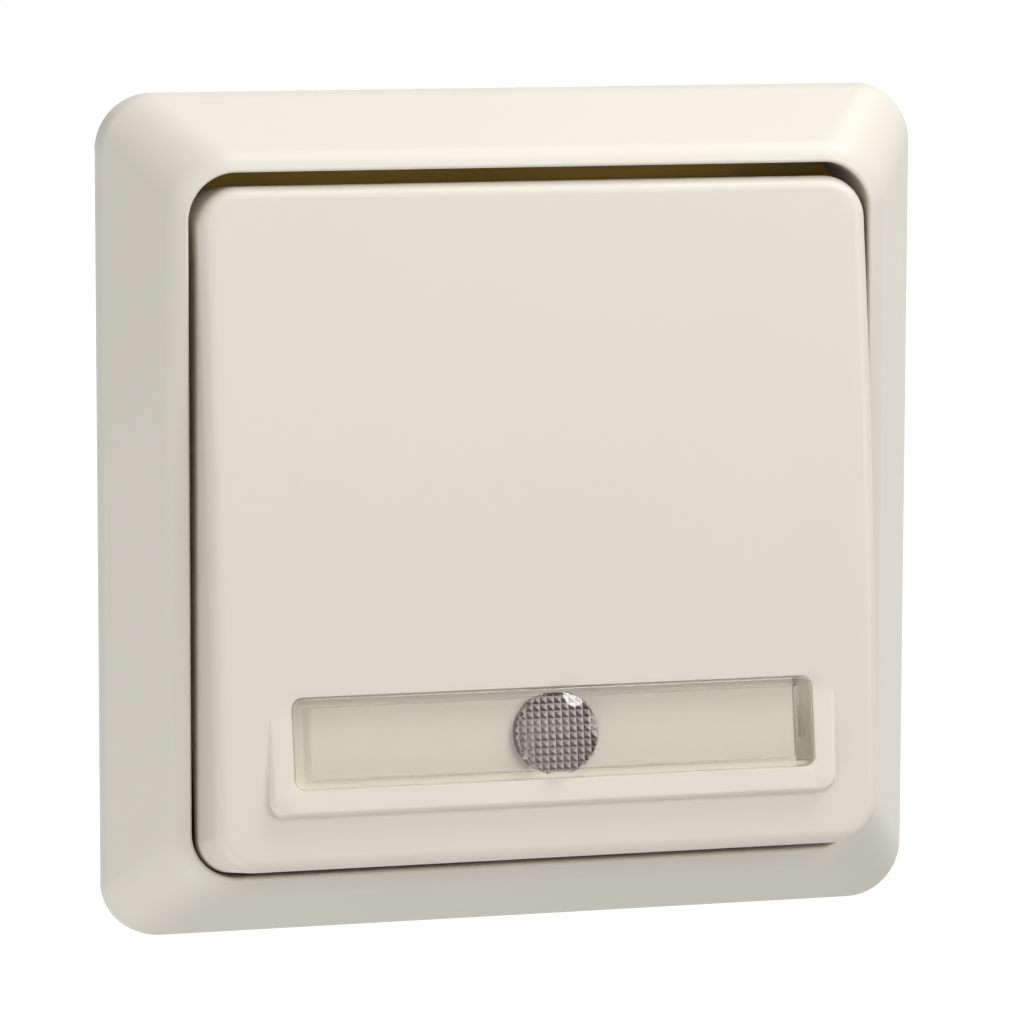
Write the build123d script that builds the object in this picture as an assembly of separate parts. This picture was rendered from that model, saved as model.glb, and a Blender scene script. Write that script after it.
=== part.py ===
from build123d import *
import math
import os

# Flush push button with a label field and a signal lens, all sizes in millimetres.
# It is drawn lying on its back: X right, Y up the wall, Z out of the wall, wall plane at Z = 0.
# Each piece is stood up at the end, so that its face looks along -Y and its top points along +Z.

# Clearances
slip_gap = 0.1
running_gap = 0.3
contact_gap = 0.15
bearing_gap = 0.08

# Cover frame
frame_size = 81.0
frame_corner = 5.5
frame_depth = 9.7
frame_wall = 1.8
frame_roof = 4.1
side_height = 1.6
side_draft = 0.15
ridge_inset = 5.5
ridge_drop = 0.8
ridge_corner = 5.8
band_width = 1.5
opening_corner = 4.6
side_round = 0.5
ridge_round = 0.9
lip_round = 0.4
skirt_wall = 1.0

# Rocker
rest_tilt = 5.9
pivot_height = 7.5
left_gap = 0.9
right_gap = 0.4
top_gap = 1.65
bottom_gap = 0.95
face_rise = 6.4
crown_radius = 500.0
rocker_wall = 1.8
rocker_corner = 4.0
rocker_round = 1.4
rocker_reach = 2.6
rib_width = 1.2
rib_height = 1.6
rib_spread = 46.0

# Label field on the rocker
label_margin = 12.07
label_shift = 0.28
label_tilt = 3.8
platform_margin = 5.0
platform_above = 2.88
platform_below = 6.79
platform_lap = 2.6
platform_thickness = 3.2
platform_corner = 1.6
platform_round = 0.5
window_margin = 2.25
window_height = 8.55
window_corner = 1.0
window_seat = 1.4
window_proud = 0.25
window_rim_end = 1.05
window_rim_side = 0.75
window_draft_end = 0.75
window_draft_side = 0.2
window_skin = 0.75
label_thickness = 0.25
lug_width = 3.0
lug_thickness = 0.8
lug_reach = 1.2
lug_slot = 1.7

# Signal lens, moulded with the window
lens_base_radius = 4.02
lens_front_radius = 3.68
lens_flat = 3.83
lens_rise = 0.85
lens_dome_radius = 16.0
prism_pitch = 0.67
prism_depth = 0.24
prism_count = 11
light_port_radius = 3.6

# Cradle and its bearings
cradle_width = 39.0
cradle_height = 37.0
cradle_corner = 2.0
cradle_lift = 0.3
cradle_thickness = 2.0
bearing_width = 3.2
bearing_radius = 3.2
trunnion_radius = 1.8
ear_width = 2.6
ear_radius = 2.1
bearing_way = 1.2
notch_width = 13.2
notch_rise = 3.4
pad_width = 5.0
pad_height = 3.0
pad_drop = 1.0
seat_post_radius = 1.8
seat_post_x = 16.0
seat_post_y = 12.0
hook_width = 6.0
hook_thickness = 1.5
hook_nose = 0.7
hook_depth = 0.9
hook_y = 9.5

# Support plate
plate_thickness = 1.0
plate_corner = 4.0
opening_round = 11.0
screw_pitch = 60.0
screw_hole_radius = 2.0
slot_length = 9.0
slot_pitch = 53.0
tab_width = 12.0
tab_height = 3.2

# Insert housing and its cover
housing_width = 38.0
housing_height = 42.0
housing_depth = 22.0
housing_corner = 3.0
housing_wall = 1.6
housing_floor = 1.8
housing_round = 1.0
plate_lap = 2.5
cover_rise = 4.0
cover_roof = 1.8
spigot_depth = 2.5
spigot_wall = 1.6
guide_wall = 1.2
guide_depth = 4.0
chamber_width = 8.4
partition_wall = 1.0

# Assembly screws
boss_inset = 2.4
assembly_shank = 1.1
assembly_head = 2.0
assembly_head_height = 1.5
assembly_length = 15.0
drive_length = 2.6
drive_width = 0.6
drive_depth = 0.7
boss_radius = 2.6

# Plunger and contacts
shoulder_gap = 0.7
plunger_side = 5.6
shoulder_width = 8.6
shoulder_height = 7.0
shoulder_length = 4.0
stem_radius = 1.5
stem_length = 5.0
bridge_length = 12.4
bridge_width = 4.0
bridge_corner = 1.0
bridge_gap = 0.05
bridge_thickness = 0.6
contact_spread = 4.5
contact_radius = 1.2
contact_height = 0.7
spring_wire = 0.5
spring_radius = 2.2
spring_turns = 6
spring_boss_height = 2.0

# Conductors and terminals
rail_thickness = 0.8
terminal_y = 8.5
terminal_width = 6.0
terminal_tab = 6.0
wire_entry_inset = 2.2
wire_entry_width = 2.6
wire_entry_height = 3.6
entry_funnel = 0.7
rail_arm = 3.0
lead_land = 1.0
clamp_thickness = 0.4
clamp_width = 4.0
clamp_bend = 0.6
clamp_wall_gap = 0.6
clamp_tip_lift = 0.8
lever_inset = 3.0
lever_width = 2.2
lever_height = 3.6
lever_proud = 1.2
lever_travel = 1.0
lever_tip = 3.0
lever_flange = 0.5
lever_flange_height = 0.8
lever_groove = 0.6
lever_groove_depth = 0.5

# Signal lamp
socket_wall_gap = 1.6
lamp_radius = 2.0
lamp_top = 6.8
lamp_tube_wall = 0.8
socket_width = 8.6
socket_height = 5.6
socket_length = 6.0
socket_floor = 1.0
lead_radius = 0.35
lead_x = 3.2
resistor_radius = 1.1
resistor_length = 1.6

# Sizes that follow from the ones above
opening_size = frame_size - 2 * (ridge_inset + band_width)
skirt_size = opening_size + 2 * skirt_wall
plate_size = skirt_size + 2 * plate_thickness
rocker_width = opening_size - left_gap - right_gap
rocker_height = opening_size - top_gap - bottom_gap
rocker_shift = (bottom_gap - top_gap) / 2
rocker_offset = (left_gap - right_gap) / 2
label_centre = rocker_shift - rocker_height / 2 + label_margin
platform_width = rocker_width - 2 * platform_margin
window_width = platform_width - 2 * window_margin
cover_top = plate_thickness + cover_rise
cover_underside = cover_top - cover_roof
inner_width = housing_width - 2 * housing_wall
inner_height = housing_height - 2 * housing_wall
assembly_x = inner_width / 2 - boss_inset
assembly_y = inner_height / 2 - boss_inset
partition_x = inner_width / 2 - chamber_width
partition_outer = partition_x + partition_wall
wire_entry_x = inner_width / 2 - wire_entry_inset
lever_x = partition_x + lever_inset
lamp_y = socket_height / 2 + socket_wall_gap - inner_height / 2
plunger_arm = -lamp_y - socket_height / 2 - shoulder_gap - shoulder_height / 2
plunger_travel = plunger_arm * math.radians(rest_tilt)
plunger_top = pivot_height - pad_drop - running_gap + plunger_travel
shoulder_top = -guide_depth - running_gap
bridge_top = shoulder_top - shoulder_length
bridge_bottom = bridge_top - bridge_thickness
rail_top = bridge_bottom - contact_height - plunger_travel - contact_gap - contact_height
rail_bottom = rail_top - rail_thickness
floor_top = housing_floor - housing_depth
tab_outer = inner_width / 2 - running_gap
plate_opening_width = inner_width - plate_lap + 2 * slip_gap
plate_opening_height = inner_height - plate_lap + 2 * slip_gap


def block(x0, x1, y0, y1, z0, z1):
    """Box between two limits on each axis."""
    size = (abs(x1 - x0), abs(y1 - y0), abs(z1 - z0))
    return Pos((x0 + x1) / 2, (y0 + y1) / 2, (z0 + z1) / 2) * Box(*size)


def prism(sketch, z0, z1):
    """Sketch extruded from one level to another."""
    return Pos(0, 0, z0) * extrude(sketch, z1 - z0)


def post(x, y, radius, z0, z1):
    """Round post or bore along Z."""
    return Pos(x, y, (z0 + z1) / 2) * Cylinder(radius, abs(z1 - z0))


def square_ring_section(half, corner, level):
    """Rounded square outline at a level, for lofting the frame."""
    return Pos(0, 0, level) * RectangleRounded(2 * half, 2 * half, corner)


def tilted(shape):
    """Turns a piece of the rocker group from level to its rest position, bottom edge out."""
    return Pos(0, 0, pivot_height) * Rot(-rest_tilt, 0, 0) * shape


def stood_up(shape):
    """Turns the finished piece from lying on its back to facing along -Y."""
    return Rot(90, 0, 0) * shape


def crown_level(y):
    """Height of the rocker's crowned face above the pivot axis."""
    return face_rise - crown_radius + math.sqrt(crown_radius ** 2 - y ** 2)


def on_label(shape):
    """Places a shape drawn on the label plane into the rocker's own frame."""
    merge_level = crown_level(label_centre + platform_above)
    level = merge_level + platform_above * math.tan(math.radians(label_tilt))
    return Pos(rocker_offset + label_shift, label_centre, level) * Rot(-label_tilt, 0, 0) * shape


def make_cover_frame():
    base = frame_size / 2
    ridge_level = frame_depth - ridge_drop
    outer = loft(
        [
            square_ring_section(base, frame_corner, 0),
            square_ring_section(base - side_draft, frame_corner, side_height),
            square_ring_section(base - ridge_inset, ridge_corner, ridge_level),
            square_ring_section(opening_size / 2, opening_corner, frame_depth),
        ],
        ruled=True,
    )
    opening = prism(RectangleRounded(opening_size, opening_size, opening_corner), 0, frame_depth)
    frame = outer - opening
    for level, amount in ((frame_depth, lip_round), (ridge_level, ridge_round), (side_height, side_round)):
        ring = frame.edges().filter_by_position(Axis.Z, level - contact_gap, level + contact_gap)
        frame = fillet(ring, amount)

    # The hollow behind the bevel follows it at the wall thickness.
    run = ridge_inset - side_draft
    rise = ridge_level - side_height
    bevel_wall = frame_wall * math.hypot(run, rise) / rise
    hollow_top = frame_depth - frame_roof
    hollow_half = base - side_draft - bevel_wall - (hollow_top - side_height) * run / rise
    skirt_corner = opening_corner + skirt_wall
    hollow = loft(
        [
            square_ring_section(base - frame_wall, frame_corner - frame_wall, 0),
            square_ring_section(base - side_draft - bevel_wall, frame_corner - frame_wall, side_height),
            square_ring_section(hollow_half, skirt_corner + hollow_half - skirt_size / 2, hollow_top),
        ],
        ruled=True,
    )
    skirt = prism(RectangleRounded(skirt_size, skirt_size, skirt_corner), plate_thickness, frame_depth)
    return frame - (hollow - skirt)


def crowned_block(width, height, corner, inset):
    """Rocker outline with its crowned front, drawn in by a wall thickness where that is given."""
    outline = RectangleRounded(width - 2 * inset, height - 2 * inset, corner - inset)
    body = prism(Pos(rocker_offset, rocker_shift) * outline, -rocker_reach, face_rise)
    crown = Pos(0, 0, face_rise - crown_radius) * Rot(0, 90, 0) * Cylinder(crown_radius - inset, 2 * width)
    return body & crown


def make_rocker():
    shell = crowned_block(rocker_width, rocker_height, rocker_corner, 0)
    face = shell.faces().sort_by(Axis.Z)[-1]
    shell = fillet(face.edges(), rocker_round)
    hollow = crowned_block(rocker_width, rocker_height, rocker_corner, rocker_wall)

    # The wedge-shaped platform grows out of the face towards its lower edge, and laps under it above.
    platform_top = platform_above + platform_lap
    platform_outline = Pos(0, (platform_top - platform_below) / 2) * RectangleRounded(
        platform_width, platform_top + platform_below, platform_corner
    )
    platform = prism(platform_outline, -platform_thickness, 0)
    top_edges = platform.faces().sort_by(Axis.Z)[-1].edges()
    platform = on_label(fillet(top_edges, platform_round))

    # Ribs, seat posts and hooks hang from the inside of the face.
    root = face_rise - rocker_wall / 2
    cradle_top = cradle_lift + cradle_thickness
    rib_end = rocker_height / 2 - rocker_wall / 2
    inside = []
    for side in (-1, 1):
        rib_x = side * rib_spread / 2
        rib_foot = face_rise - rocker_wall - rib_height
        rib = block(rib_x - rib_width / 2, rib_x + rib_width / 2, -rib_end, rib_end, rib_foot, root)
        inside.append(Pos(0, rocker_shift) * rib)
        for end in (-1, 1):
            inside.append(post(side * seat_post_x, end * seat_post_y, seat_post_radius, cradle_top, root))
            inside.append(hook(side, end * hook_y, root))
    body = shell - hollow + platform
    for piece in inside:
        body += piece & crowned_block(rocker_width, rocker_height, rocker_corner, rocker_wall / 2)

    # Pocket for the window, the port for the light and the blind slot for the window's lug.
    pocket_outline = RectangleRounded(
        window_width + 2 * slip_gap, window_height + 2 * slip_gap, window_corner + slip_gap
    )
    pocket = prism(pocket_outline, -window_seat, platform_thickness)
    port = post(0, 0, light_port_radius, -2 * platform_thickness, 0)
    slot_outer = window_width / 2 + slip_gap
    slot_half = window_height / 2 - window_rim_side / 2
    slot_foot = -window_seat - lug_reach - slip_gap
    lug_way = block(slot_outer - lug_slot, slot_outer, -slot_half, slot_half, slot_foot, 0)
    return body - on_label(pocket) - on_label(port) - on_label(lug_way)


def hook(side, y, root):
    """Snap hook of the rocker, with its nose under the edge of the cradle."""
    inner = cradle_width / 2 + slip_gap
    foot = cradle_lift - slip_gap - hook_depth
    leg = block(inner, inner + hook_thickness, -hook_width / 2, hook_width / 2, foot, root)
    nose_inner = cradle_width / 2 - hook_nose
    nose = block(nose_inner, inner, -hook_width / 2, hook_width / 2, foot, foot + hook_depth)
    catch = leg + nose
    if side < 0:
        catch = mirror(catch, Plane.YZ)
    return Pos(0, y, 0) * catch


def make_window_lens():
    plate = prism(RectangleRounded(window_width, window_height, window_corner), -window_seat, window_proud)
    rim_edges = plate.faces().sort_by(Axis.Z)[-1].edges()
    plate = fillet(rim_edges, window_proud)
    # The room for the labels narrows towards the front, as its mould does.
    room_width = window_width - 2 * window_rim_end
    room_height = window_height - 2 * window_rim_side
    room_mouth = Rectangle(room_width, room_height)
    room_roof = Rectangle(room_width - 2 * window_draft_end, room_height - 2 * window_draft_side)
    plate -= loft([Pos(0, 0, -window_seat) * room_mouth, Pos(0, 0, window_proud - window_skin) * room_roof])

    # Tapered lens with flats above and below, and a shallow dome.
    lens_top = window_proud + lens_rise
    lens = post(0, 0, lens_base_radius, -window_seat, window_proud)
    lens += Pos(0, 0, window_proud + lens_rise / 2) * Cone(lens_base_radius, lens_front_radius, lens_rise)
    lens &= block(-window_width, window_width, -lens_flat, lens_flat, -window_seat, lens_top)
    lens &= Pos(0, 0, lens_top - lens_dome_radius) * Sphere(lens_dome_radius)

    # Crossed grooves leave a field of small pyramids on the back of the lens.
    groove_outline = Polygon((-prism_pitch / 2, 0), (prism_pitch / 2, 0), (0, prism_depth), align=None)
    groove = extrude(Plane.XZ * groove_outline, 2 * lens_base_radius, both=True)
    for index in range(prism_count):
        offset = (index - (prism_count - 1) / 2) * prism_pitch
        lens -= Pos(offset, 0, -window_seat) * groove
        lens -= Pos(0, offset, -window_seat) * Rot(0, 0, 90) * groove

    # Lug at the right-hand end, in the rocker's slot.
    lug_outer = window_width / 2 - (lug_slot - lug_thickness) / 2
    lug = block(
        lug_outer - lug_thickness, lug_outer, -lug_width / 2, lug_width / 2, -window_seat - lug_reach, 0
    )
    return plate + lens + lug


def make_label(side):
    # The sheet clears the room's drafted walls at its own front.
    draft_share = label_thickness / (window_seat + window_proud - window_skin)
    end_inset = window_rim_end + draft_share * window_draft_end + slip_gap
    side_inset = window_rim_side + draft_share * window_draft_side + slip_gap
    sheet_left = end_inset - window_width / 2
    sheet_right = window_width / 2 - lug_slot
    sheet_height = window_height - 2 * side_inset
    sheet = Pos((sheet_left + sheet_right) / 2, 0) * Rectangle(sheet_right - sheet_left, sheet_height)
    sheet -= Circle(lens_base_radius + slip_gap)
    halves = sheet.faces().sort_by(Axis.X)
    half = halves[0] if side < 0 else halves[-1]
    return prism(half, -window_seat, -window_seat + label_thickness)


def make_rocker_cradle():
    cradle_top = cradle_lift + cradle_thickness
    outline = RectangleRounded(cradle_width, cradle_height, cradle_corner)
    plate = prism(outline, cradle_lift, cradle_top)

    # Notches clear the bearing posts at the sides and the lamp below.
    bearing_inner = housing_width / 2 - bearing_width
    notch_half = bearing_radius + bearing_way
    for side in (-1, 1):
        plate -= block(
            side * (bearing_inner - running_gap), side * cradle_width, -notch_half, notch_half, 0, cradle_top
        )
    notch_top = lamp_y + notch_rise
    plate -= block(-notch_width / 2, notch_width / 2, -cradle_height, notch_top, 0, cradle_top)

    # Ears carry the trunnions, and a pad works the plunger.
    ear_outer = bearing_inner - running_gap
    for side in (-1, 1):
        ear_x = side * (ear_outer - ear_width / 2)
        ear = Pos(ear_x, 0, 0) * Rot(0, 90, 0) * Cylinder(ear_radius, ear_width)
        web = block(
            ear_x - ear_width / 2, ear_x + ear_width / 2, -ear_radius, ear_radius, 0, cradle_lift
        )
        trunnion_end = housing_width / 2 - slip_gap
        trunnion_length = trunnion_end - ear_outer
        trunnion_x = side * (ear_outer + trunnion_length / 2)
        trunnion = Pos(trunnion_x, 0, 0) * Rot(0, 90, 0) * Cylinder(trunnion_radius, trunnion_length)
        plate = plate + ear + web + trunnion
    pad = block(
        -pad_width / 2,
        pad_width / 2,
        -plunger_arm - pad_height / 2,
        -plunger_arm + pad_height / 2,
        -pad_drop,
        cradle_lift,
    )
    return plate + pad


def make_support_plate():
    outline = RectangleRounded(plate_size, plate_size, plate_corner)
    outline -= RectangleRounded(plate_opening_width, plate_opening_height, opening_round)
    for side in (-1, 1):
        outline -= Pos(side * screw_pitch / 2, 0) * Circle(screw_hole_radius)
        outline -= Pos(0, side * slot_pitch / 2) * SlotOverall(slot_length, 2 * screw_hole_radius)
        for end in (-1, 1):
            outline -= Pos(side * assembly_x, end * assembly_y) * Circle(assembly_shank + slip_gap)
    plate = prism(outline, 0, plate_thickness)

    # Spring tabs, bent up from the four edges, grip the skirt of the frame.
    tab_level = plate_thickness + tab_height
    tab = block(-tab_width / 2, tab_width / 2, skirt_size / 2, plate_size / 2, 0, tab_level)
    for quarter in range(4):
        plate += Rot(0, 0, 90 * quarter) * tab
    return plate


def make_housing_cover():
    top_outline = RectangleRounded(housing_width, housing_height, housing_corner)
    cover = prism(top_outline, plate_thickness, cover_top)
    spigot_width = plate_opening_width - 2 * slip_gap
    spigot_height = plate_opening_height - 2 * slip_gap
    spigot = RectangleRounded(spigot_width, spigot_height, opening_round - slip_gap)
    cover += prism(spigot, -spigot_depth, plate_thickness)
    hollow = RectangleRounded(
        spigot_width - 2 * spigot_wall, spigot_height - 2 * spigot_wall, opening_round - spigot_wall
    )
    cover -= prism(hollow, -spigot_depth, cover_underside)

    # Guide for the plunger and tube for the lamp.
    guide_half = plunger_side / 2 + slip_gap + guide_wall
    cover += block(
        -guide_half, guide_half, -plunger_arm - guide_half, -plunger_arm + guide_half, -guide_depth, cover_top
    )
    tube_radius = lamp_radius + running_gap + lamp_tube_wall
    cover += post(0, lamp_y, tube_radius, -spigot_depth, cover_top)
    way = plunger_side / 2 + slip_gap
    cover -= block(-way, way, -plunger_arm - way, -plunger_arm + way, -guide_depth, cover_top)
    cover -= post(0, lamp_y, lamp_radius + running_gap, -spigot_depth, cover_top)

    # Bearing posts for the trunnions.
    post_inner = housing_width / 2 - bearing_width
    for side in (-1, 1):
        post_x = side * (post_inner + bearing_width / 2)
        post_outer = side * housing_width / 2
        bearing = block(
            side * post_inner, post_outer, -bearing_radius, bearing_radius, cover_top, pivot_height
        )
        bearing += Pos(post_x, 0, pivot_height) * Rot(0, 90, 0) * Cylinder(bearing_radius, bearing_width)
        bore = Pos(post_x, 0, pivot_height) * Rot(0, 90, 0) * Cylinder(
            trunnion_radius + bearing_gap, 2 * bearing_width
        )
        cover = cover + bearing - bore

    # Counterbored holes for the assembly screws.
    for x, y in assembly_places():
        cover -= post(x, y, assembly_shank + slip_gap, 0, cover_top)
        cover -= post(x, y, assembly_head + slip_gap, cover_top - assembly_head_height, cover_top)
    return cover


def assembly_places():
    return [(sx * assembly_x, sy * assembly_y) for sx in (-1, 1) for sy in (-1, 1)]


def terminal_places():
    """Side and end of each of the four terminals, with the name that its pieces share."""
    names = {(-1, 1): "phase", (-1, -1): "neutral", (1, 1): "output_upper", (1, -1): "output_lower"}
    return [(side, end, name) for (side, end), name in names.items()]


def make_base_housing():
    outline = RectangleRounded(housing_width, housing_height, housing_corner)
    body = prism(outline, -housing_depth, 0)
    body = fillet(body.faces().sort_by(Axis.Z)[0].edges(), housing_round)
    inner = RectangleRounded(inner_width, inner_height, housing_corner - housing_wall)
    body -= prism(inner, floor_top, 0)

    # Partitions carry the rails and divide the terminal chambers from the contact chamber.
    for side in (-1, 1):
        body += block(
            side * partition_x,
            side * partition_outer,
            -inner_height / 2,
            inner_height / 2,
            floor_top,
            rail_bottom,
        )
    for x, y in assembly_places():
        boss = post(x, y, boss_radius, floor_top, 0)
        bore = post(x, y, assembly_shank + slip_gap, cover_top - assembly_length, 0)
        body = body + boss - bore
    body += post(0, -plunger_arm, stem_radius, floor_top, floor_top + spring_boss_height)

    # Wire entries and lever slots in the floor.
    for side, end, name in terminal_places():
        entry = SlotOverall(wire_entry_height, wire_entry_width, rotation=90)
        mouth_height = wire_entry_height + 2 * entry_funnel
        mouth_width = wire_entry_width + 2 * entry_funnel
        mouth = SlotOverall(mouth_height, mouth_width, rotation=90)
        funnel = Pos(0, 0, -housing_depth) * loft([mouth, Pos(0, 0, entry_funnel) * entry])
        body -= Pos(side * wire_entry_x, end * terminal_y) * prism(entry, -housing_depth, floor_top)
        body -= Pos(side * wire_entry_x, end * terminal_y) * funnel
        slot_x = lever_width / 2 + slip_gap
        slot_y = lever_height / 2 + slip_gap
        body -= Pos(side * lever_x, end * terminal_y) * block(
            -slot_x, slot_x, -slot_y, slot_y, -housing_depth, floor_top
        )
    return body


def make_assembly_screws():
    screws = []
    for x, y in assembly_places():
        head_foot = cover_top - assembly_head_height
        head = post(x, y, assembly_head, head_foot, cover_top)
        drive = Pos(x, y) * Rectangle(drive_length, drive_width)
        head -= prism(drive, cover_top - drive_depth, cover_top)
        screws.append(head + post(x, y, assembly_shank, cover_top - assembly_length, head_foot))
    return Compound(children=screws)


def make_contact_plunger():
    half = plunger_side / 2
    body = block(-half, half, -half, half, shoulder_top, plunger_top)
    side = shoulder_width / 2
    end = shoulder_height / 2
    body += block(-side, side, -end, end, bridge_top, shoulder_top)
    body += post(0, 0, stem_radius, bridge_bottom - stem_length, bridge_top)
    return Pos(0, -plunger_arm, 0) * body


def make_contact_bridge():
    outline = RectangleRounded(bridge_length, bridge_width, bridge_corner)
    outline -= Circle(stem_radius + bridge_gap)
    return Pos(0, -plunger_arm, 0) * prism(outline, bridge_bottom, bridge_top)


def make_contact_pair(level):
    """Two contact rivets, one on each side of the plunger."""
    pair = []
    for side in (-1, 1):
        pair.append(post(side * contact_spread, -plunger_arm, contact_radius, level, level + contact_height))
    return Compound(children=pair)


def make_return_spring():
    wire = spring_wire / 2
    start = floor_top + wire
    length = bridge_bottom - wire - start
    path = Helix(length / spring_turns, length, spring_radius)
    coil = sweep(Plane(path @ 0, z_dir=path % 0) * Circle(wire), path)
    return Pos(0, -plunger_arm, start) * coil


def terminal_rail(side, end):
    """Flat of a rail over one terminal and the tab that the wire is pressed against."""
    y0 = end * terminal_y - terminal_width / 2
    y1 = end * terminal_y + terminal_width / 2
    flat = block(side * partition_x, side * tab_outer, y0, y1, rail_bottom, rail_top)
    tab = block(
        side * (tab_outer - rail_thickness), side * tab_outer, y0, y1, rail_bottom - terminal_tab, rail_bottom
    )
    return flat + tab


def lamp_arm(side):
    """Arm of a rail from the terminal to the foot of a lamp lead."""
    inner = lead_x - lead_land
    y0 = lamp_y - rail_arm / 2
    y1 = lamp_y + rail_arm / 2
    across = block(side * inner, side * (partition_outer + rail_arm / 2), y0, y1, rail_bottom, rail_top)
    along = block(
        side * partition_x,
        side * (partition_outer + rail_arm / 2),
        y0,
        -terminal_y,
        rail_bottom,
        rail_top,
    )
    return across + along


def contact_arm(side, y0):
    """Arm of a rail that ends under the contact rivet and starts at a height on the wall of the chamber."""
    inner = contact_spread - rail_arm / 2
    along = block(
        side * inner,
        side * (inner + rail_arm),
        -plunger_arm - rail_arm / 2,
        y0 + rail_arm / 2,
        rail_bottom,
        rail_top,
    )
    across = block(
        side * inner,
        side * partition_outer,
        y0 - rail_arm / 2,
        y0 + rail_arm / 2,
        rail_bottom,
        rail_top,
    )
    return along + across


def make_phase_rail():
    return terminal_rail(-1, 1) + contact_arm(-1, terminal_y)


def make_neutral_rail():
    return terminal_rail(-1, -1) + lamp_arm(-1)


def make_output_rail():
    rail = terminal_rail(1, 1) + terminal_rail(1, -1)
    rail += block(partition_x, tab_outer, -terminal_y, terminal_y, rail_bottom, rail_top)
    return rail + contact_arm(1, -plunger_arm) + lamp_arm(1)


def make_clamp_spring(side, end):
    run_level = rail_bottom - clamp_thickness / 2
    back = partition_outer + clamp_wall_gap + clamp_thickness / 2
    front = tab_outer - rail_thickness - running_gap
    tip = (front - running_gap, rail_bottom - terminal_tab + clamp_tip_lift)
    path = FilletPolyline((front, run_level), (back, run_level), tip, radius=clamp_bend)
    strip = extrude(Plane.XZ * trace(path, clamp_thickness), clamp_width / 2, both=True)
    if side < 0:
        strip = mirror(strip, Plane.YZ)
    return Pos(0, end * terminal_y, 0) * strip


def make_release_lever(side, end):
    half_x = lever_width / 2
    half_y = lever_height / 2
    foot = -housing_depth - lever_proud
    tip = floor_top + lever_flange_height + lever_tip
    stem = block(-half_x, half_x, -half_y, half_y, foot, tip)
    groove = lever_groove / 2
    stem -= block(-half_x, half_x, -groove, groove, foot, foot + lever_groove_depth)
    flange = block(
        -half_x - lever_flange,
        half_x + lever_flange,
        -half_y - lever_flange,
        half_y + lever_flange,
        floor_top,
        floor_top + lever_flange_height,
    )
    return Pos(side * lever_x, end * terminal_y, 0) * (stem + flange)


def make_lamp_socket():
    top = -spigot_depth
    foot = top - socket_length
    body = block(
        -socket_width / 2, socket_width / 2, lamp_y - socket_height / 2, lamp_y + socket_height / 2, foot, top
    )
    body -= post(0, lamp_y, lamp_radius + slip_gap, foot + socket_floor, top)
    return body


def make_signal_lamp():
    foot = -spigot_depth - socket_length + socket_floor
    tube = post(0, lamp_y, lamp_radius, foot, lamp_top - lamp_radius)
    return tube + Pos(0, lamp_y, lamp_top - lamp_radius) * Sphere(lamp_radius)


def resistor_levels():
    """Lower and upper end of the resistor, midway between the neutral rail and the socket."""
    middle = (rail_top - spigot_depth - socket_length) / 2
    return middle - resistor_length / 2, middle + resistor_length / 2


def make_series_resistor():
    lower, upper = resistor_levels()
    return post(-lead_x, lamp_y, resistor_radius, lower, upper)


def make_lamp_leads():
    foot = -spigot_depth - socket_length
    lower, upper = resistor_levels()
    leads = [
        post(lead_x, lamp_y, lead_radius, rail_top, foot),
        post(-lead_x, lamp_y, lead_radius, rail_top, lower),
        post(-lead_x, lamp_y, lead_radius, upper, foot),
    ]
    return Compound(children=leads)


def all_pieces():
    """Every piece in its place, by name, still lying on its back."""
    pieces = {
        "cover_frame": make_cover_frame(),
        "rocker": tilted(make_rocker()),
        "window_lens": tilted(on_label(make_window_lens())),
        "label_left": tilted(on_label(make_label(-1))),
        "label_right": tilted(on_label(make_label(1))),
        "rocker_cradle": tilted(make_rocker_cradle()),
        "support_plate": make_support_plate(),
        "housing_cover": make_housing_cover(),
        "base_housing": make_base_housing(),
        "assembly_screws": make_assembly_screws(),
        "contact_plunger": make_contact_plunger(),
        "contact_bridge": make_contact_bridge(),
        "moving_contacts": make_contact_pair(bridge_bottom - contact_height),
        "fixed_contacts": make_contact_pair(rail_top),
        "return_spring": make_return_spring(),
        "phase_rail": make_phase_rail(),
        "neutral_rail": make_neutral_rail(),
        "output_rail": make_output_rail(),
        "lamp_socket": make_lamp_socket(),
        "signal_lamp": make_signal_lamp(),
        "series_resistor": make_series_resistor(),
        "lamp_leads": make_lamp_leads(),
    }
    for side, end, name in terminal_places():
        pieces[f"clamp_spring_{name}"] = make_clamp_spring(side, end)
        pieces[f"release_lever_{name}"] = make_release_lever(side, end)
    return pieces


os.makedirs("parts", exist_ok=True)
for node, piece in all_pieces().items():
    export_step(stood_up(piece), f"parts/{node}.step")
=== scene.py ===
import bmesh
import bpy
import math
from mathutils import Matrix, Vector


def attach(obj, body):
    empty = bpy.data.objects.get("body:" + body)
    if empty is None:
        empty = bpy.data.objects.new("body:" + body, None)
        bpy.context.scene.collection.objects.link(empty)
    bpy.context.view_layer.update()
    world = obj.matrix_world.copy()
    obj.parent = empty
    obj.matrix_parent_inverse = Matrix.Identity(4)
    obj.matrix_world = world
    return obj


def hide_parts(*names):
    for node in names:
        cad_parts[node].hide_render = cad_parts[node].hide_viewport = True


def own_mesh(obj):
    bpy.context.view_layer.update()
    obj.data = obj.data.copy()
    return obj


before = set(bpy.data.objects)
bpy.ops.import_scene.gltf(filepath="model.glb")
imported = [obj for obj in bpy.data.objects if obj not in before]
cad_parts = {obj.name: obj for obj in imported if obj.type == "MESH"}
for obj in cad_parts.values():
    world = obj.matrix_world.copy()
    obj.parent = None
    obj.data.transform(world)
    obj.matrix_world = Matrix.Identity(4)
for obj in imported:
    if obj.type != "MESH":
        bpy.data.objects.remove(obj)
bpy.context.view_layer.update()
scene = bpy.context.scene
scene.view_settings.view_transform = "Standard"
print("frame loaded:", len(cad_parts), "nodes")

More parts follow.
